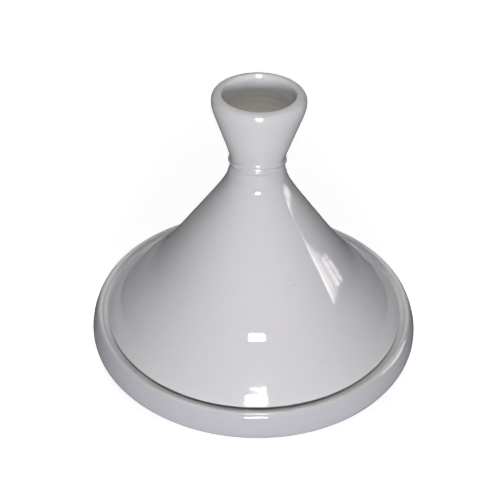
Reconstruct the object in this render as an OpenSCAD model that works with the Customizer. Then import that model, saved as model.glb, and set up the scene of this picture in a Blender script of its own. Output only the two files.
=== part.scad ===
// Tagine: a shallow round dish, and a loose cone-shaped lid with a cup-shaped handle.
// Millimetres, +Z up. The pot stands on z = 0 and everything is round about the Z axis.

/* [Dish] */
// Radius of the dish over the outside of its rim
dish_r = 135; // [120:1:150]
// Height of the dish from the table to the top of its rim
dish_h = 40; // [36:0.5:46]
// Radius of the foot ring over its outside
foot_r = 92; // [80:1:96]
// Width of the foot ring's standing face
foot_w = 8; // [6:0.5:12]
// Height of the foot ring
foot_h = 5; // [4.5:0.5:6]
// Thickness of the dish's floor
floor_t = 7.5; // [6:0.5:9]

/* [Ledge] */
// Depth of the ledge that carries the lid, below the top of the rim
ledge_depth = 5.5; // [5:0.25:7]
// Width of the ledge
ledge_w = 8.5; // [7:0.5:10]
// Gap between the lid's edge and the wall round the ledge
lid_play = 1.5; // [1.2:0.1:2.5]

/* [Lid] */
// Wall of the lid
lid_wall = 7.2; // [6:0.2:8]
// Half angle of the straight part of the cone
cone_angle = 34.4; // [33:0.1:36]
// Radius in the middle of the straight part
cone_r = 55; // [53:0.1:57]
// Height of the middle of the straight part
cone_z = 118; // [116:0.5:120]
// Half angle of the wider skirt below the cone
skirt_angle = 45.5; // [45:0.1:46.5]
// Radius at the top of the skirt
skirt_r = 88; // [86:0.5:89]
// Height of the top of the skirt
skirt_z = 73.2; // [72.5:0.1:74]
// Radius of the shoulder under the collar
shoulder_r = 22.8; // [22:0.1:24]
// Height of the shoulder under the collar
shoulder_z = 170.5; // [168:0.5:173]

/* [Collar] */
// Radius of the neck inside the collar
neck_r = 19; // [17:0.25:19.5]
// Height of the collar
collar_h = 12.3; // [10:0.1:14]
// How far the collar swells beyond the shoulder
collar_swell = 0.5; // [0.3:0.1:2]

/* [Knob] */
// Radius of the knob at its waist
waist_r = 20.1; // [19.8:0.1:22]
// Largest radius of the knob's lip
lip_r = 35.5; // [33:0.1:38]
// Radius along the top of the lip
lip_top_r = 28.8; // [28:0.1:30]
// Height of the whole pot
pot_h = 239; // [232:0.5:245]
// Depth of the cup in the knob
cup_depth = 46; // [38:1:48]
// Radius of the cup's mouth, just inside the lip
mouth_r = 26.6; // [25:0.1:27]

/* [Quality] */
// Facets round the axis in a preview
$fn = 128; // [48:16:192]

/* [Hidden] */

glaze = [0.93, 0.92, 0.93];
bare_clay = [0.80, 0.66, 0.54];

// Gap left between the resting lid and the ledge
rest_gap = 0.3;
// Straight pieces that stand for one rounded stretch of an outline
short_steps = 6;
long_steps = 14;
flare_steps = 28;

// Dish: radii and heights that follow from the sizes above
crest_half = [2.4, 2.3];         // half width and half height of the rounded crest of the rim
crest_mid = [dish_r - 7, dish_h - crest_half[1]];
crest_angle = 42;                // the crest turns outwards to this slope
rim_angle = 24;                  // and the wall under it to this one
rim_mid = [dish_r - 3.4, dish_h - 3.5];
belly_z = dish_h - 16.5;         // height where the dish is widest
ledge_z = dish_h - ledge_depth;
ledge_wall_r = crest_mid[0] - crest_half[0] - 2.4;
ledge_round = 2.5;
ledge_in_r = ledge_wall_r - ledge_w;
hollow_r = ledge_in_r - ledge_round;
floor_z = foot_h + floor_t;
foot_bevel = 1;

// Lid: turning points of its outline
seat_z = ledge_z + rest_gap;
edge_r = 1.3;                    // rounding of the lid's outer edge
edge_rise = 4;                   // height of its middle above the seat
edge_mid = [ledge_wall_r - lid_play - edge_r, seat_z + edge_rise];
tuck_angle = 42.2;               // the skirt steepens to this at the edge
tuck_r = 108;                    // from this radius outwards
seat_mid = [edge_mid[0] - 3.35, seat_z];
skirt_top = [skirt_r, skirt_z];
cone_mid = [cone_r, cone_z];
shoulder = [shoulder_r, shoulder_z];
flare_pull = [8, 36, 14];        // reach of its bends along the skirt, then along the cone
neck_pull = [13.5, 27];          // the same above the middle of the cone
dome_pull = [26, 18];            // and for the hollow's top
joint_z = shoulder_z + 5.5;      // where cone and knob meet, hidden by the collar
dome_z = shoulder_z - 10.5;      // top of the hollow inside the lid

// Collar and knob: turning points of their outlines
collar_top_z = shoulder_z + collar_h;
waist = [waist_r, collar_top_z + 1.2];
flare_top = [lip_r - 1.7, pot_h - 15];
up_flare = (flare_top - waist) / norm(flare_top - waist);
lip_inside = [mouth_r, pot_h - 4.5];
cup_z = pot_h - cup_depth;

// Unit vector up the side of a cone with half angle a
function up(a) = [-sin(a), cos(a)];

// Where the line through p along u meets the line through q along v
function meet(p, u, q, v) = p + u * cross(q - p, v) / cross(u, v);

// Steps from each point of a list to the next
function steps(p) = [for (i = [0:len(p) - 2]) p[i + 1] - p[i]];

// Point at t, from 0 to 1, on the smooth curve that control points p pull
function on_curve(p, t) =
    len(p) == 1 ? p[0] : on_curve([for (i = [0:len(p) - 2]) (1 - t) * p[i] + t * p[i + 1]], t);

// Unit vector to the left of direction v
function left_of(v) = [-v[1], v[0]] / norm(v);

// That curve as n + 1 points, moved to its left by inset
function curve(p, n, inset = 0) =
    [for (i = [0:n]) on_curve(p, i / n) + inset * left_of(on_curve(steps(p), i / n))];

// Part of an upright ellipse about c, from angle a to angle b
function oval(c, half, a, b, n) =
    [for (i = [0:n]) let (t = a + (b - a) * i / n) c + [half[0] * cos(t), half[1] * sin(t)]];

function reversed(list) = [for (i = [len(list) - 1:-1:0]) list[i]];

// Where the line through p along u reaches height z
function level(p, u, z) = meet(p, u, [0, z], [1, 0]);

// Outside of the dish, from where it is widest up to the crest of its rim
crest_foot = crest_mid + [crest_half[0] * cos(crest_angle), crest_half[1] * sin(crest_angle)];
belly = [dish_r, belly_z];
wall_low = [belly, meet(rim_mid, up(rim_angle), belly, [0, 1]), rim_mid];
wall_high = [rim_mid, meet(rim_mid, up(rim_angle), crest_foot, up(crest_angle)), crest_foot];

// Outside of the lid, from its edge up to the straight skirt
edge_top = edge_mid + edge_r * [cos(tuck_angle), sin(tuck_angle)];
skirt_foot = skirt_top + (skirt_r - tuck_r) / sin(skirt_angle) * up(skirt_angle);
tuck = [
    edge_top,
    meet(edge_top, up(tuck_angle), skirt_foot, up(skirt_angle)),
    skirt_foot,
];

// The same stretch as the wall's inside follows it, stopping short of the edge
tuck_in = [edge_top + 3 * up(tuck_angle), tuck[1], skirt_foot];

// Underside of the lid's edge, from the inside out to the seat and from there to the edge
edge_low = edge_mid + edge_r * [cos(50), -sin(50)];
inner_low = tuck_in[0] + lid_wall * left_of(up(tuck_angle));
seat_in = [inner_low, level(inner_low, up(tuck_angle), seat_z), seat_mid];
seat_out = [seat_mid, level(edge_low, [cos(40), sin(40)], seat_z), edge_low];

// Outside of the lid, from the skirt up to the middle of the cone
flare = [
    skirt_top,
    skirt_top + flare_pull[0] * up(skirt_angle),
    cone_mid - flare_pull[1] * up(cone_angle),
    cone_mid - flare_pull[2] * up(cone_angle),
    cone_mid,
];

// Outside of the lid, from the middle of the cone up to the shoulder
neck = [
    cone_mid,
    cone_mid + neck_pull[0] * up(cone_angle),
    cone_mid + neck_pull[1] * up(cone_angle),
    shoulder + [0.7, -8.3],
    shoulder,
];

module turned(points) rotate_extrude() polygon(points);

// Wall, rim, ledge and floor of the dish
module dish_bowl() {
    under = [[foot_r, foot_h], [foot_r + 20, foot_h + 4], [dish_r, foot_h + 4], belly];
    crest = oval(crest_mid, crest_half, crest_angle, 180, 2 * short_steps);
    ledge_wall = [[ledge_wall_r + 1, ledge_z + 0.8], [ledge_wall_r, ledge_z]];
    ledge_in = oval([ledge_in_r, ledge_z - ledge_round], [ledge_round, ledge_round], 90, 180, short_steps);
    hollow = [
        [hollow_r, ledge_z - ledge_round],
        [hollow_r, ledge_z - 12.5],
        [hollow_r - 3.5, floor_z + 1.5],
        [hollow_r - 18.5, floor_z],
    ];
    color(glaze) turned(concat(
        [[0, foot_h]], curve(under, long_steps), curve(wall_low, short_steps),
        curve(wall_high, short_steps), crest, ledge_wall, ledge_in,
        curve(hollow, long_steps), [[0, floor_z]]));
}

// Ring of bare clay that the pot stands on
module dish_foot_ring()
    color(bare_clay) turned([
        [foot_r - foot_w, foot_h], [foot_r - foot_w, foot_bevel], [foot_r - foot_w + foot_bevel, 0],
        [foot_r - foot_bevel, 0], [foot_r, foot_bevel], [foot_r, foot_h]]);

// Hollow cone with a wider skirt, a rounded edge and a solid neck
module lid_cone() {
    edge = oval(edge_mid, [edge_r, edge_r], -50, tuck_angle, short_steps);
    dome_start = cone_mid + dome_pull[0] * up(cone_angle) + lid_wall * left_of(up(cone_angle));
    dome = [dome_start, dome_start + dome_pull[1] * up(cone_angle), [10, dome_z], [0, dome_z]];
    color(glaze) turned(concat(
        curve(seat_in, short_steps), curve(seat_out, short_steps), edge,
        curve(tuck, short_steps), curve(flare, flare_steps), curve(neck, long_steps),
        [[neck_r, shoulder_z], [neck_r, joint_z], [0, joint_z]],
        reversed(curve(dome, long_steps)),
        reversed(curve(flare, flare_steps, lid_wall)), reversed(curve(tuck_in, short_steps, lid_wall))));
}

// Coil of clay laid round the neck over the joint
module lid_collar() {
    swell = [
        shoulder,
        shoulder + [collar_swell, 3.5],
        [shoulder_r + collar_swell, collar_top_z - 1.3],
        [waist_r, collar_top_z],
    ];
    color(glaze) turned(concat(
        [[neck_r, shoulder_z]], curve(swell, long_steps), [[neck_r, collar_top_z]]));
}

// Cup-shaped handle with a thick rounded lip
module lid_knob() {
    lip_out = [flare_top, flare_top + 7 * up_flare, [lip_r + 1.8, pot_h], [lip_top_r, pot_h]];
    lip_in = [[lip_top_r, pot_h], [lip_top_r - 1.5, pot_h], lip_inside + [0.2, 3.1], lip_inside];
    cup = [lip_inside, lip_inside - [1.6, 13], [mouth_r - 5.6, cup_z], [0, cup_z]];
    color(glaze) turned(concat(
        [[0, joint_z], [neck_r, joint_z], [neck_r, collar_top_z], waist],
        curve(lip_out, 2 * short_steps), curve(lip_in, short_steps), curve(cup, long_steps)));
}

dish_bowl();
dish_foot_ring();
lid_cone();
lid_collar();
lid_knob();
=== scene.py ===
# Tagine: a glazed dish and its loose cone lid, thrown by hand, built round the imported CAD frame.
# Outlines are (radius, height) pairs in millimetres; meshes, camera and lights are in metres.
import math
import bpy
import bmesh
import numpy as np
from mathutils import Matrix, Vector


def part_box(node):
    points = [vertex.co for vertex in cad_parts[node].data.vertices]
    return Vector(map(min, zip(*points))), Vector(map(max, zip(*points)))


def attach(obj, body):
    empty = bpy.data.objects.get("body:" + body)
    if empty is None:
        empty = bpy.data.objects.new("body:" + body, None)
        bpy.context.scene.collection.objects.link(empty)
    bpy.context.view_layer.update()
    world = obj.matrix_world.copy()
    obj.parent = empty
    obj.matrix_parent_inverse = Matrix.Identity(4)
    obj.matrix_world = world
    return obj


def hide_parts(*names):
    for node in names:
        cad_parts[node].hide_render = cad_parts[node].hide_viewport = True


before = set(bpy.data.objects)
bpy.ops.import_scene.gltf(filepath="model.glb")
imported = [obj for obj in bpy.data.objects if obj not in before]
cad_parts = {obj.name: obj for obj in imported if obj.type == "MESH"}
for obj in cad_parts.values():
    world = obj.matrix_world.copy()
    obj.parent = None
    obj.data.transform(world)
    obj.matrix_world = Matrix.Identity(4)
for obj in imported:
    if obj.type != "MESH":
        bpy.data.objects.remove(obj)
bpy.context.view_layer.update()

MM = 0.001
TURN = 2 * math.pi
PROUD = 0.04        # how far the coil's clay stands off the knob where it is pressed on, in mm
ON_AXIS = 1e-6      # a radius or a gap under this is nothing, in mm
SHARP = 38          # faces that turn by more than this many degrees meet in a sharp edge


# ---------------------------------------------------------------- sizes from the frame

def box_mm(node):
    """A round node's radius, bottom and top, in mm."""
    low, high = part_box(node)
    return high[0] / MM, low[2] / MM, high[2] / MM


rim_r, _, dish_h = box_mm("dish_bowl")
foot_r, _, foot_h = box_mm("dish_foot_ring")
lid_r, seat_z, joint_z = box_mm("lid_cone")
_, coil_z0, coil_z1 = box_mm("lid_collar")
knob_r, _, pot_h = box_mm("lid_knob")


# ---------------------------------------------------------------- outlines

def P(r, z):
    """Point of an outline: its radius and height."""
    return np.array([r, z], float)


def bezier(points, n=60):
    """Curve with those control points, as n + 1 points."""
    t = np.linspace(0, 1, n + 1)[:, None]
    level = [np.repeat(np.array(p, float)[None], n + 1, 0) for p in points]
    while len(level) > 1:
        level = [(1 - t) * a + t * b for a, b in zip(level, level[1:])]
    return level[0]


def oval(c, half, a, b, n=40):
    """Stretch of an oval about c, from angle a to b in degrees; half holds its half width and height."""
    t = np.radians(np.linspace(a, b, n + 1))
    return np.array(c) + np.c_[half[0] * np.cos(t), half[1] * np.sin(t)]


def line(*points):
    return np.array(points, float)


def up(angle):
    """Direction that climbs and leans in by that many degrees from upright."""
    a = math.radians(angle)
    return P(-math.sin(a), math.cos(a))


def cross2(a, b):
    return a[0] * b[1] - a[1] * b[0]


def meet(p, u, q, v):
    """Where the line through p along u crosses the line through q along v."""
    return p + u * cross2(q - p, v) / cross2(u, v)


def inset(curve, d):
    """The curve moved sideways by d, to the left of the way it runs."""
    step = np.gradient(curve, axis=0)
    step /= np.linalg.norm(step, axis=1)[:, None]
    return curve + d * np.c_[-step[:, 1], step[:, 0]]


def smooth(a, b, x):
    """Rises from 0 at a to 1 at b, smoothly at both ends."""
    t = np.clip((x - a) / (b - a), 0, 1)
    return t * t * (3 - 2 * t)


def hump(centre, half, x):
    """1 at centre, 0 beyond half on either side, smooth between."""
    return 0.5 + 0.5 * np.cos(np.pi * np.clip((x - centre) / half, -1, 1))


def near_turn(theta, centre, half):
    """hump() on the angle round the axis, in degrees."""
    away = (np.degrees(theta) - centre + 180) % 360 - 180
    return hump(0, half, away)


# Dish: slopes are in degrees from upright, and most of these values are the CAD's
crest_half = (2.4, 2.3)
crest_angle, rim_angle = 42, 24
ledge_depth, ledge_w, ledge_round = 5.5, 8.5, 2.5
floor_t, foot_w, foot_round = 7.5, 8, 1.1

crest_mid = P(rim_r - 7, dish_h - crest_half[1])
crest = oval(crest_mid, crest_half, crest_angle, 180)
belly = P(rim_r, dish_h - 16.5)
rim_mid = P(rim_r - 3.4, dish_h - 3.5)
rim_bend_low = meet(rim_mid, up(rim_angle), belly, P(0, 1))
rim_bend_high = meet(rim_mid, up(rim_angle), crest[0], up(crest_angle))
ledge_z = dish_h - ledge_depth
ledge_wall_r = crest_mid[0] - 4.8
ledge_in_r = ledge_wall_r - ledge_w
hollow_r = ledge_in_r - ledge_round
floor_z = foot_h + floor_t
# foot of the rim's inner wall: from the crest down to the ledge, filled a little by run glaze
ledge_fill = [P(ledge_wall_r + 2.2, ledge_z + 2.2), P(ledge_wall_r + 0.4, ledge_z + 1.8),
              P(ledge_wall_r - 1.6, ledge_z + 1.5), P(ledge_wall_r - 4.5, ledge_z)]

# Lid
lid_wall = 7.2
edge_r, edge_rise, edge_foot_angle = 1.3, 4, -50
cone_angle, skirt_angle, tuck_angle = 34.4, 45.5, 42.2
tuck_r = 108        # from this radius outwards the skirt steepens
neck_r = 19         # the neck inside the coil, where the knob stands on it
dome_drop = 10.5    # clay between the lid's hollow and the neck's shoulder

cone_up, skirt_up, tuck_up = up(cone_angle), up(skirt_angle), up(tuck_angle)
edge_mid = P(lid_r - edge_r, seat_z + edge_rise)
seat_mid = P(edge_mid[0] - 3.35, seat_z)
cone_mid = P(55, 118)
skirt_top = P(88, 73.2)
skirt_foot = skirt_top + (skirt_top[0] - tuck_r) / math.sin(math.radians(skirt_angle)) * skirt_up
shoulder = P(22.8, coil_z0)
edge = oval(edge_mid, (edge_r, edge_r), edge_foot_angle, tuck_angle, 12)
tuck_bend = meet(edge[-1], tuck_up, skirt_foot, skirt_up)
tuck = bezier([edge[-1], tuck_bend, skirt_foot])
tuck_in = bezier([edge[-1] + 3 * tuck_up, tuck_bend, skirt_foot])
flare = bezier([skirt_top, skirt_top + 8 * skirt_up, cone_mid - 36 * cone_up,
                cone_mid - 14 * cone_up, cone_mid], 160)
neck = bezier([cone_mid, cone_mid + 13.5 * cone_up, cone_mid + 27 * cone_up,
               shoulder + P(0.7, -8.3), shoulder], 90)
dome_start = cone_mid + 26 * cone_up - lid_wall * P(cone_up[1], -cone_up[0])
inner_tuck = inset(tuck_in, lid_wall)
inner_skirt = inset(line(skirt_foot, skirt_top), lid_wall)
inner_flare = inset(flare, lid_wall)
dome = bezier([dome_start, dome_start + 18 * cone_up, P(10, coil_z0 - dome_drop), P(0, coil_z0 - dome_drop)])
seat_in = bezier([inner_tuck[0], meet(inner_tuck[0], tuck_up, seat_mid, P(1, 0)), seat_mid], 20)
seat_out = bezier([seat_mid, meet(edge[0], -up(edge_foot_angle), seat_mid, P(1, 0)), edge[0]], 20)

# Knob
cup_depth = 46
cup_z = pot_h - cup_depth
lip_top_r = 28.8
waist = P(20.1, coil_z1 + 1.2)
flare_top = P(33.8, pot_h - 15)
flare_dir = (flare_top - waist) / np.linalg.norm(flare_top - waist)
cup_mouth = P(25.6, pot_h - 11)


def on_knob(rise):
    """Point that far above the waist, just proud of the knob's flare."""
    return waist + rise / flare_dir[1] * flare_dir + P(PROUD, 0)


# ---------------------------------------------------------------- lathe

def is_run(names, *wanted):
    """1 on the outline's points that belong to one of those runs, 0 elsewhere."""
    return np.isin(names, wanted).astype(float)


def blur(values, weights):
    """Weighted average of each value and its neighbours along the outline."""
    return np.convolve(np.pad(values, len(weights) // 2, mode="edge"), weights, "valid")


def resample(runs):
    """Joins runs of (name, curve, spacing) into one outline: points, and each point's run name."""
    points, names = [], []
    for name, curve, spacing in runs:
        along = np.r_[0, np.cumsum(np.linalg.norm(np.diff(curve, axis=0), axis=1))]
        n = max(1, round(along[-1] / spacing))
        s = np.linspace(0, along[-1], n + 1)
        new = np.c_[np.interp(s, along, curve[:, 0]), np.interp(s, along, curve[:, 1])]
        if points and np.linalg.norm(new[0] - points[-1]) < ON_AXIS:
            new = new[1:]
        points += list(new)
        names += [name] * len(new)
    return np.array(points), np.array(names)


def outline_normal(padded):
    """Direction out of the clay at each point of an outline that has one extra point at each end."""
    tangent = padded[2:] - padded[:-2]
    length = np.linalg.norm(tangent, axis=1)
    tangent /= np.where(length, length, 1)[:, None]
    return np.c_[tangent[:, 1], -tangent[:, 0]]


def outline_bend(padded):
    """How sharply the outline bends at each point, in 1/mm: + is an edge, - a hollow."""
    before, after = padded[1:-1] - padded[:-2], padded[2:] - padded[1:-1]
    back, ahead = np.linalg.norm(before, axis=1), np.linalg.norm(after, axis=1)
    good = (back > 0) & (ahead > 0)
    turn = before[:, 0] * after[:, 1] - before[:, 1] * after[:, 0]
    bend = np.zeros(len(turn))
    bend[good] = turn[good] / (back * ahead * (back + ahead) / 2)[good]
    return blur(bend, [0.1, 0.2, 0.4, 0.2, 0.1])


def glaze_marks(names, bend):
    """What the glaze does along the outline, and where shade is painted into it: values from 0 to 1 that its
    material reads.
    """
    # insides of the cup, lid and dish, and a little of the ledge's inner round: olive of thinner glaze,
    # darkened as painted shade
    hidden_shade = is_run(names, "cup", "seat", "hollow", "floor", "inner") + 0.3 * is_run(names, "ledge_in")
    crown = is_run(names, "crest", "wall", "ledge", "ledge_in")
    return {
        "glaze_thin": np.clip(bend * 3.0, 0, 1),
        # hollows of the outline: glaze pooled thick there, and painted shade
        "glaze_pool_shade": np.clip(-bend * 5.0, 0, 1),
        "glaze_crown": blur(crown, [1 / 9] * 9),
        "glaze_hidden_shade": blur(hidden_shade, [0.2] * 5),
    }


def ring_faces(index, closed):
    """Faces between neighbouring rings of points; a quad that ends on the axis becomes a triangle."""
    sides, rings = index.shape
    faces = []
    for j in range(rings if closed else rings - 1):
        a, b = index[:, j], index[:, (j + 1) % rings]
        for k in range(sides):
            m = (k + 1) % sides
            quad = [a[k], a[m], b[m], b[k]]
            face = [v for i, v in enumerate(quad) if v != quad[i - 1]]
            if len(face) > 2:
                faces.append(face)
    return faces


def lathe(name, runs, relief, sides, closed=False):
    """Turns an outline about Z, with relief(theta, r, z, s, names) in mm added along its normal."""
    pts, names = resample(runs)
    if closed and np.linalg.norm(pts[0] - pts[-1]) < ON_AXIS:
        pts, names = pts[:-1], names[:-1]
    ends = (pts[-1], pts[0]) if closed else (pts[0], pts[-1])
    padded = np.vstack([ends[0], pts, ends[1]])
    s = np.r_[0, np.cumsum(np.linalg.norm(np.diff(pts, axis=0), axis=1))]
    theta = np.arange(sides) * TURN / sides
    lift = relief(theta[:, None], pts[None, :, 0], pts[None, :, 1], s[None], names[None])
    lift = lift * (pts[:, 0] > ON_AXIS)[None]
    rings = pts[None] + outline_normal(padded)[None] * lift[..., None]
    verts, index = [], np.zeros((sides, len(pts)), int)
    for j in range(len(pts)):
        if pts[j, 0] < ON_AXIS:
            index[:, j] = len(verts)
            verts.append((0.0, 0.0, pts[j, 1] * MM))
        else:
            index[:, j] = len(verts) + np.arange(sides)
            r, z = rings[:, j, 0] * MM, rings[:, j, 1] * MM
            verts += list(zip(r * np.cos(theta), r * np.sin(theta), z))
    mesh = bpy.data.meshes.new(name)
    mesh.from_pydata(verts, [], ring_faces(index, closed))
    for label, along in glaze_marks(names, outline_bend(padded)).items():
        values = np.zeros(len(verts), np.float32)
        for j in range(len(pts)):
            values[index[:, j]] = along[j]
        mesh.attributes.new(label, "FLOAT", "POINT").data.foreach_set("value", values)
    bm = bmesh.new()
    bm.from_mesh(mesh)
    bmesh.ops.recalc_face_normals(bm, faces=bm.faces)
    bm.to_mesh(mesh)
    bm.free()
    mesh.shade_smooth()
    mesh.set_sharp_from_angle(angle=math.radians(SHARP))
    turned = bpy.data.objects.new(name, mesh)
    bpy.context.scene.collection.objects.link(turned)
    return turned


# ---------------------------------------------------------------- relief left by the hands, in mm

def spiral(theta, s, pitch, phase=0.0):
    """Throwing line: one ridge that climbs a pitch each turn."""
    return np.cos(TURN * s / pitch + theta + phase)


def dish_relief(theta, r, z, s, names):
    slow = (0.13 * np.cos(2 * theta + 0.6) + 0.10 * np.cos(3 * theta + 2.2 + z / 18)
            + 0.05 * np.cos(5 * theta + 1.1 - z / 12))
    wall = is_run(names, "under", "rim_out")
    outside = wall * (0.6 * slow - 0.20 + 0.02 * spiral(theta, s, 5.2))
    crest_lift = is_run(names, "crest") * (0.4 * slow - 0.12)
    inner = is_run(names, "wall") * 0.10 * np.cos(2 * theta + 0.4)
    # ledge: two faint tooling ridges, kept below the lid's seat
    ledge = is_run(names, "ledge") * (-0.10 + 0.05 * np.cos((r - ledge_in_r) * TURN / 2.6))
    hollow = is_run(names, "hollow", "floor") * smooth(2, 12, r) * (
        -0.12 + 0.09 * spiral(theta, r, 9.0) + 0.04 * np.cos(3 * theta + r / 14))
    return outside + crest_lift + inner + ledge + hollow


def lid_relief(theta, r, z, s, names):
    shape = (0.20 * np.cos(2 * theta + 0.9 + z / 110) + 0.12 * np.cos(3 * theta + 2.1 - z / 90)
             + 0.05 * np.cos(5 * theta + 0.4 + z / 60))
    lines = (0.004 * spiral(theta, s, 7.5) * (1 + 0.5 * np.cos(2 * theta + z / 22))
             + 0.0015 * spiral(theta, s, 3.1, 2.0))
    away = smooth(seat_z + 5, seat_z + 22, z) * (1 - smooth(coil_z0 - 12, coil_z0 - 1, z))
    # a groove above the edge, where the wall was turned out; it fades away in front
    low = seat_z + 14.5
    groove = -0.95 * (1 - 0.9 * near_turn(theta, -90, 80)) * (1 - 0.5 * near_turn(theta, 90, 80))
    groove = groove * np.where(z < low, hump(low, 6.5, z), hump(low, 22, z))
    # and a sharper crease in it at both sides
    crease = -0.42 * (near_turn(theta, 12, 62) + near_turn(theta, 168, 62)) * hump(low + 1.0, 3.0, z)
    outside = is_run(names, "tuck", "skirt", "flare", "neck") * (away * (shape + lines) + groove + crease)
    inside = is_run(names, "inner") * away * (0.10 * spiral(theta, s, 6.0, 1.0) + 0.6 * shape)
    return outside + inside


def knob_relief(theta, r, z, s, names):
    out = is_run(names, "waist", "flare") * smooth(coil_z1, coil_z1 + 8, z)
    lip = is_run(names, "lip") * (1 - smooth(pot_h - 5, pot_h - 0.5, z))
    lines = 0.022 * spiral(theta, s, 2.6) + 0.016 * spiral(theta, s, 4.3, 1.2)
    bent = 0.14 * np.cos(2 * theta + 1.7) + 0.08 * np.cos(3 * theta + 0.2)
    cup = is_run(names, "cup") * smooth(3, 10, r) * (0.10 * spiral(theta, s, 4.8) + 0.5 * bent)
    return (out + lip) * (lines + bent) + cup - is_run(names, "lip") * 0.05


def coil_relief(theta, r, z, s, names):
    """A coil of clay pressed round the joint. Its upper roll rides up onto the knob in front,
    where a second, lower one shows beside it; a crease parts them on the right."""
    front = near_turn(theta, -90, 100)
    ride = coil_z1 - 1.3 + 6.6 * front
    upper = (2.0 - 0.2 * front) * hump(ride, 3.0 - 0.5 * front, z)
    lower = 2.0 * near_turn(theta, -112, 78) * hump(coil_z1 - 0.8, 3.0, z)
    crease = -0.80 * near_turn(theta, -42, 34) * hump(ride - 3.4, 1.4, z)
    wobble = (0.08 * np.cos(4 * theta + 0.7) + 0.06 * np.cos(7 * theta + z / 3)
              + 0.04 * np.cos(11 * theta - z / 2))
    body = smooth(coil_z0, coil_z0 + 3, z) * (1 - smooth(coil_z1 + 5, coil_z1 + 9, z))
    return is_run(names, "coil") * (upper + lower + crease + wobble * body)


def foot_relief(theta, r, z, s, names):
    side = is_run(names, "side")
    return side * (-0.12 + 0.07 * np.cos(3 * theta + 0.5) + 0.05 * spiral(theta, z, 1.6))


# ---------------------------------------------------------------- glaze and clay

class Nodes:
    """A material's node tree, with short calls for adding and joining nodes."""

    def __init__(self, name):
        self.material = bpy.data.materials.new(name)
        self.material.use_nodes = True
        self.tree = self.material.node_tree
        self.tree.nodes.clear()

    def add(self, kind, inputs=None, **settings):
        node = self.tree.nodes.new("ShaderNode" + kind)
        for key, value in settings.items():
            setattr(node, key, value)
        for key, value in (inputs or {}).items():
            if isinstance(value, bpy.types.NodeSocket):
                self.tree.links.new(value, node.inputs[key])
            else:
                node.inputs[key].default_value = value
        return node

    def math(self, operation, *values):
        return self.add("Math", dict(enumerate(values)), operation=operation).outputs[0]

    def vmath(self, operation, *values, out=0):
        return self.add("VectorMath", dict(enumerate(values)), operation=operation).outputs[out]

    def noise(self, vector, scale, detail=2.0, rough=0.5):
        node = self.add("TexNoise", {"Vector": vector, "Scale": scale, "Detail": detail, "Roughness": rough})
        return node.outputs["Fac"]

    def remap(self, value, a, b, c, d):
        """Takes a..b to c..d, held at both ends."""
        return self.add("MapRange", {0: value, 1: a, 2: b, 3: c, 4: d}, clamp=True).outputs[0]

    def mix(self, factor, a, b):
        """Colour a at factor 0, b at 1."""
        return self.add("Mix", {0: factor, 6: a, 7: b}, data_type="RGBA").outputs[2]

    def attribute(self, name):
        return self.add("Attribute", attribute_name=name).outputs["Fac"]


def rgb(r, g, b):
    return (r, g, b, 1.0)


GLAZE_COOL = rgb(0.715, 0.708, 0.760)
GLAZE_WARM = rgb(0.725, 0.708, 0.730)
GLAZE_SHADE = rgb(0.62, 0.60, 0.60)
# greyer glaze in the hollows: pooled glaze, and painted shade
GLAZE_POOL_SHADE = rgb(0.66, 0.66, 0.66)
GLAZE_EDGE = rgb(0.70, 0.65, 0.60)
# darker olive of the hidden insides: thinner glaze, and painted shade
GLAZE_OLIVE_SHADE = rgb(0.61, 0.60, 0.56)
PINHOLE = rgb(0.12, 0.09, 0.07)
CLAY_BROWN = rgb(0.55, 0.37, 0.25)
CLAY_BUFF = rgb(0.66, 0.49, 0.36)
CLAY_GRAIN = rgb(0.72, 0.58, 0.45)
CLAY_SAND = rgb(0.32, 0.21, 0.15)
DISH_TINT = (0.825, 0.825, 0.865)   # the dish's glaze is a little bluer and darker than the lid's
CROWN_TINT = (0.95, 0.965, 0.95)    # top of the rim, its inner wall and the ledge, kept paler than the rest of the dish
RIPPLED = (0.045, -0.032, 0.115)    # middle of a patch where the glaze is finely rippled


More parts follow.
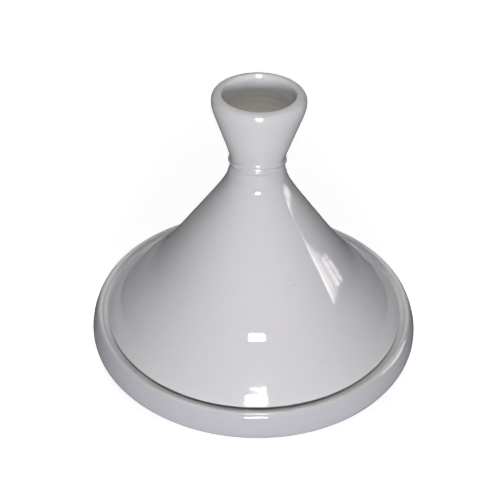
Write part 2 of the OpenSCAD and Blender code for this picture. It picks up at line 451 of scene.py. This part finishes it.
def glaze(name, tint=(1, 1, 1), specks=()):
    """Glossy off-white glaze: cool, and warmer where it thins over an edge; greyer in the outline's hollows,
    where it pools and where shade is painted, and darker olive on the hidden insides, partly painted shade.
    specks are the points of the pinholes that are big enough to see."""
    n = Nodes(name)
    place = n.add("TexCoord").outputs["Object"]
    cloud = n.noise(place, 16, 2)
    mottle = n.noise(place, 90, 3)
    thin = n.math("MULTIPLY", n.attribute("glaze_thin"), n.remap(mottle, 0.3, 0.7, 0.55, 1.0))
    pool_shade = n.attribute("glaze_pool_shade")
    tone = n.mix(n.remap(cloud, 0.32, 0.68, 0, 1), GLAZE_COOL, GLAZE_WARM)
    tone = n.mix(n.remap(mottle, 0.25, 0.75, 0.0, 0.14), tone, GLAZE_SHADE)
    # painted shade: the hollows go darker grey, partly as pooled glaze
    tone = n.mix(n.math("MULTIPLY", pool_shade, 0.35), tone, GLAZE_POOL_SHADE)
    tone = n.mix(n.math("MULTIPLY", thin, 0.30), tone, GLAZE_EDGE)
    # painted shade on the hidden insides, with the olive of thinner glaze
    tone = n.mix(n.attribute("glaze_hidden_shade"), tone, GLAZE_OLIVE_SHADE)
    tone = n.mix(n.attribute("glaze_crown"), n.vmath("MULTIPLY", tone, tint),
                 n.vmath("MULTIPLY", tone, CROWN_TINT))
    # pinholes: a scatter of tiny ones, then the specks
    cells = n.add("TexVoronoi", {"Vector": place, "Scale": 70.0})
    rare = n.math("GREATER_THAN", n.add("SeparateColor", {0: cells.outputs["Color"]}).outputs[0], 0.90)
    pin = n.math("MULTIPLY", rare, n.remap(cells.outputs["Distance"], 0.010, 0.028, 1.0, 0.0))
    for at in specks:
        away = n.vmath("DISTANCE", place, at, out="Value")
        pin = n.math("MAXIMUM", pin, n.remap(away, 0.00022, 0.00062, 1.0, 0.0))
    tone = n.mix(n.math("MULTIPLY", pin, 0.7), tone, PINHOLE)
    # runs of glaze down the wall: noise drawn out along the height
    around = n.vmath("NORMALIZE", n.vmath("MULTIPLY", place, (1, 1, 0)))
    around = n.vmath("MULTIPLY", around, (80, 80, 80))
    runs = n.noise(n.vmath("ADD", around, n.vmath("MULTIPLY", place, (0, 0, 45))), 1.0, 2)
    peel = n.noise(place, 420, 2)
    away = n.vmath("DISTANCE", place, RIPPLED, out="Value")
    rippled = n.math("MULTIPLY", n.remap(away, 0.035, 0.060, 1.0, 0.0), n.noise(place, 420, 1))
    height = n.math("ADD", n.math("MULTIPLY", peel, 0.30), n.math("MULTIPLY", runs, 0.55))
    height = n.math("ADD", height, n.math("MULTIPLY", rippled, 0.32))
    height = n.math("ADD", height, n.math("MULTIPLY", n.noise(place, 120, 1), 0.5))
    height = n.math("SUBTRACT", height, n.math("MULTIPLY", pin, 2.0))
    bump = n.add("Bump", {"Strength": 0.5, "Distance": 0.00005, "Height": height}).outputs[0]
    shader = n.add("BsdfPrincipled", {
        "Base Color": tone,
        "Roughness": n.remap(mottle, 0.3, 0.7, 0.02, 0.05),
        "Normal": bump,
        "IOR": 1.5,
    })
    n.add("OutputMaterial", {"Surface": shader.outputs[0]})
    return n.material


def clay(name):
    """Bare buff earthenware with sand in it."""
    n = Nodes(name)
    place = n.add("TexCoord").outputs["Object"]
    body = n.noise(place, 30, 4)
    grain = n.noise(place, 900, 3, 0.7)
    sand = n.add("TexVoronoi", {"Vector": place, "Scale": 650.0})
    dark = n.math("GREATER_THAN", n.add("SeparateColor", {0: sand.outputs["Color"]}).outputs[1], 0.86)
    tone = n.mix(n.remap(body, 0.3, 0.7, 0, 1), CLAY_BROWN, CLAY_BUFF)
    tone = n.mix(n.remap(grain, 0.35, 0.65, 0, 0.45), tone, CLAY_GRAIN)
    tone = n.mix(n.math("MULTIPLY", dark, 0.45), tone, CLAY_SAND)
    height = n.math("ADD", grain, n.math("MULTIPLY", sand.outputs["Distance"], 0.6))
    bump = n.add("Bump", {"Strength": 0.6, "Distance": 0.0002, "Height": height}).outputs[0]
    shader = n.add("BsdfPrincipled", {
        "Base Color": tone,
        "Roughness": n.remap(grain, 0.3, 0.7, 0.78, 0.95),
        "Normal": bump,
    })
    n.add("OutputMaterial", {"Surface": shader.outputs[0]})
    return n.material


def on_lid(turn, height):
    """Point on the lid's outside at that angle from the front, in degrees, and height, in mm."""
    outside = np.vstack([tuck, flare, neck])
    r = np.interp(height, outside[:, 1], outside[:, 0])
    a = math.radians(turn - 90)
    return (r * math.cos(a) * MM, r * math.sin(a) * MM, height * MM)


glaze_dish = glaze("white_glaze_dish", tint=DISH_TINT)
glaze_lid = glaze("white_glaze_lid", specks=[on_lid(28, 105), on_lid(31, 57), on_lid(3, 49)])
bare_clay = clay("bare_clay")


# ---------------------------------------------------------------- pieces

def piece(name, runs, relief, body, node, material, sides, closed=False):
    """A turned piece that rides on a body and stands in for a CAD node."""
    made = lathe(name, runs, relief, sides, closed)
    made.data.materials.append(material)
    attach(made, body)
    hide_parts(node)


piece("dish_thrown", [
    ("flat", line(P(0, foot_h), P(foot_r - 1, foot_h)), 4),
    ("under", bezier([P(foot_r - 1, foot_h), P(foot_r + 20, foot_h + 4), P(rim_r, foot_h + 4), belly]), 1.2),
    ("rim_out", bezier([belly, rim_bend_low, rim_mid]), 0.7),
    ("rim_out", bezier([rim_mid, rim_bend_high, crest[0]]), 0.4),
    ("crest", crest, 0.35),
    ("wall", bezier([crest[-1]] + ledge_fill), 0.4),
    ("ledge", line(ledge_fill[-1], P(ledge_in_r, ledge_z)), 0.5),
    ("ledge_in", oval(P(ledge_in_r, ledge_z - ledge_round), (ledge_round, ledge_round), 90, 180), 0.4),
    ("hollow", bezier([P(hollow_r, ledge_z - ledge_round), P(hollow_r, ledge_z - 12.5),
                       P(hollow_r - 3.5, floor_z + 1.5), P(hollow_r - 18.5, floor_z)]), 1.2),
    ("floor", line(P(hollow_r - 18.5, floor_z), P(0, floor_z)), 2.4),
], dish_relief, "dish", "dish_bowl", glaze_dish, 448)

foot_in = foot_r - foot_w
piece("foot_ring_bare", [
    ("top", line(P(foot_in, foot_h), P(foot_r, foot_h)), 1.0),
    ("side", line(P(foot_r, foot_h), P(foot_r, foot_round)), 0.6),
    ("edge", bezier([P(foot_r, foot_round), P(foot_r, 0), P(foot_r - foot_round, 0)], 12), 0.25),
    ("stand", line(P(foot_r - foot_round, 0), P(foot_in + foot_round, 0)), 0.8),
    ("edge", bezier([P(foot_in + foot_round, 0), P(foot_in, 0), P(foot_in, foot_round)], 12), 0.25),
    ("side", line(P(foot_in, foot_round), P(foot_in, foot_h)), 0.6),
], foot_relief, "dish", "dish_foot_ring", bare_clay, 320, closed=True)

piece("lid_thrown", [
    ("seat", seat_in, 0.7),
    ("seat", seat_out, 0.5),
    ("edge", edge, 0.25),
    ("tuck", tuck, 1.0),
    ("skirt", line(skirt_foot, skirt_top), 1.0),
    ("flare", flare, 1.0),
    ("neck", neck, 1.0),
    ("joint", line(shoulder, P(neck_r, coil_z0), P(neck_r, joint_z), P(0, joint_z)), 3.0),
    ("inner", dome[::-1], 2.0),
    ("inner", inner_flare[::-1], 1.6),
    ("inner", inner_skirt[::-1], 1.6),
    ("inner", inner_tuck[::-1], 1.2),
], lid_relief, "lid", "lid_cone", glaze_lid, 448)

coil_low = waist + PROUD * P(1, 0)
coil_top = on_knob(9.5) - P(0.3, 0)
piece("neck_coil", [
    ("inside", line(P(neck_r, coil_z0), shoulder), 1.5),
    ("coil", bezier([shoulder, shoulder + P(-1.1, 3.0), P(20.9, coil_z1 - 6), P(20.3, coil_z1 - 1.5),
                     coil_low]), 0.4),
    ("coil", line(coil_low, on_knob(8)), 0.4),
    ("coil", line(on_knob(8), coil_top), 0.4),
    ("inside", line(coil_top, P(neck_r, waist[1]), P(neck_r, coil_z0)), 1.5),
], coil_relief, "lid", "lid_collar", glaze_lid, 360, closed=True)

piece("knob_thrown", [
    ("joint", line(P(0, joint_z), P(neck_r, joint_z), P(neck_r, coil_z1)), 2.0),
    ("waist", line(P(neck_r, coil_z1), waist), 0.6),
    ("flare", line(waist, flare_top), 0.6),
    ("lip", bezier([flare_top, flare_top + 7 * flare_dir, P(knob_r + 1.8, pot_h), P(lip_top_r, pot_h)]), 0.4),
    ("lip", bezier([P(lip_top_r, pot_h), P(27.4, pot_h), P(27.0, pot_h - 2), P(26.3, pot_h - 6),
                    cup_mouth]), 0.4),
    ("cup", bezier([cup_mouth, P(24.9, pot_h - 16), P(21, cup_z), P(0, cup_z)]), 0.9),
], knob_relief, "lid", "lid_knob", glaze_lid, 360)


# ---------------------------------------------------------------- floor, light, camera

CENTRE = Vector((0, 0, 0.5 * pot_h * MM))
POT_AWAY = 1.6      # how far the lights stand, in metres
CARD_AWAY = 8       # how far the cards stand that show in the glaze


def toward(turn, rise):
    """Direction from the pot at that angle from the front and above the horizon, in degrees."""
    a, e = math.radians(turn), math.radians(rise)
    return Vector((math.sin(a) * math.cos(e), -math.cos(a) * math.cos(e), math.sin(e)))


def flat_card(name, verts, material):
    """One flat face that belongs to the stage."""
    mesh = bpy.data.meshes.new(name)
    mesh.from_pydata(verts, [], [tuple(range(len(verts)))])
    mesh.materials.append(material)
    card = bpy.data.objects.new(name, mesh)
    bpy.context.scene.collection.objects.link(card)
    return card


def pale_floor():
    """Matt white paper that glows a little, so that it stays pale round the pot."""
    n = Nodes("pale_floor")
    shader = n.add("BsdfPrincipled", {"Base Color": rgb(0.86, 0.86, 0.86), "Roughness": 0.9,
                                      "Specular IOR Level": 0.0, "Emission Color": rgb(1, 1, 1),
                                      "Emission Strength": 0.50})
    n.add("OutputMaterial", {"Surface": shader.outputs[0]})
    return n.material


def lace(name, strength):
    """Daylight through lace and folds of cloth."""
    n = Nodes(name)
    place = n.add("TexCoord").outputs["Object"]
    cells = n.add("TexVoronoi", {"Vector": place, "Scale": 3.2}, feature="DISTANCE_TO_EDGE")
    threads = n.remap(cells.outputs["Distance"], 0.05, 0.13, 0.3, 1.0)
    folds = n.remap(n.noise(place, 2.2, 3), 0.36, 0.62, 0.35, 1.0)
    shine = n.math("MULTIPLY", n.math("MULTIPLY", threads, folds), strength)
    glow = n.add("Emission", {"Color": rgb(1.0, 0.95, 0.93), "Strength": shine})
    n.add("OutputMaterial", {"Surface": glow.outputs[0]})
    return n.material


def softbox(name, turn, rise, away, width, height, watts, diffuse=True, gloss=True):
    """Area light at that angle from the front and above the horizon, in degrees, facing the pot."""
    data = bpy.data.lights.new(name, "AREA")
    data.shape = "RECTANGLE"
    data.size, data.size_y = width, height
    data.energy = watts
    light = bpy.data.objects.new(name, data)
    light.location = CENTRE + away * toward(turn, rise)
    light.rotation_mode = "QUATERNION"
    light.rotation_quaternion = toward(turn, rise).to_track_quat("Z", "Y")
    light.visible_diffuse = diffuse
    light.visible_glossy = gloss
    bpy.context.scene.collection.objects.link(light)


side = 6.0          # half the floor's width, in metres
floor = flat_card("floor", [(-side, -side, 0), (side, -side, 0), (side, side, 0), (-side, side, 0)],
                  pale_floor())
# the camera alone sees the floor, so that light from below reaches the pot
floor.visible_diffuse = False
floor.visible_glossy = False
floor.visible_shadow = False

# soft studio light: a low box in front, broad ones above, and fill from behind and below
softbox("low_front", 3, 11, POT_AWAY, 0.46, 0.24, 16.6, gloss=False)
softbox("high_front", 0, 55, POT_AWAY, 1.1, 1.1, 4.9, gloss=False)
softbox("overhead", 0, 90, POT_AWAY, 1.2, 1.2, 8.3, gloss=False)
softbox("behind", 180, 0, POT_AWAY, 1.5, 1.5, 32, gloss=False)
softbox("below", 0, -90, POT_AWAY, 3.0, 3.0, 27, gloss=False)
softbox("below_left", -90, -45, POT_AWAY, 1.5, 1.5, 9.0, gloss=False)
softbox("below_right", 90, -45, POT_AWAY, 1.5, 1.5, 7.5, gloss=False)
# cards that only show in the glaze
softbox("front_card", 3.5, 40.9, CARD_AWAY, 1.75, 0.99, 640, diffuse=False)
softbox("low_card", 3, 10.8, CARD_AWAY, 1.8, 1.0, 650, diffuse=False)

# a window at the right, which only shows in the glaze too: its corners are (turn, rise) in degrees
WINDOW = [(90.5, 14.6), (92, 14.0), (97, 10.7), (103.2, 7.2), (111, 3.2), (113, 2.4), (118, -0.5),
          (119, -3), (112, -6), (105, -6), (100, 0), (95, 6), (90.5, 9.5)]
window = flat_card("lace_window", [CENTRE + CARD_AWAY * toward(*corner) for corner in WINDOW],
                   lace("lace_window", 12.0))
for ray in ("camera", "diffuse", "shadow", "transmission", "volume_scatter"):
    setattr(window, "visible_" + ray, False)

# white all round for the camera; it lights nothing and isn't reflected
world = bpy.data.worlds.new("studio")
bpy.context.scene.world = world
world.use_nodes = True
world.node_tree.nodes["Background"].inputs["Color"].default_value = rgb(1, 1, 1)
world.node_tree.nodes["Background"].inputs["Strength"].default_value = 1.0
world.cycles_visibility.diffuse = False
world.cycles_visibility.glossy = False

bpy.context.scene.view_settings.view_transform = "Standard"

CAMERA_AT = (0, -0.7079, 0.6334)
pitch, yaw, roll = (math.radians(a) for a in (37.279, -0.349, -1.190))
forward = Vector((math.sin(yaw) * math.cos(pitch), math.cos(yaw) * math.cos(pitch), -math.sin(pitch)))
across = Vector((math.cos(yaw), -math.sin(yaw), 0))
down = forward.cross(across)
right = math.cos(roll) * across + math.sin(roll) * down
below = -math.sin(roll) * across + math.cos(roll) * down
camera = bpy.data.objects.new("camera", bpy.data.cameras.new("camera"))
camera.data.sensor_width = 36
camera.data.lens = 79.2     # in mm, like the sensor
camera.data.clip_start, camera.data.clip_end = 0.01, 50
turned = Matrix((right, -below, -forward)).transposed()
camera.matrix_world = Matrix.Translation(CAMERA_AT) @ turned.to_4x4()
bpy.context.scene.collection.objects.link(camera)
bpy.context.scene.camera = camera

bpy.context.view_layer.update()
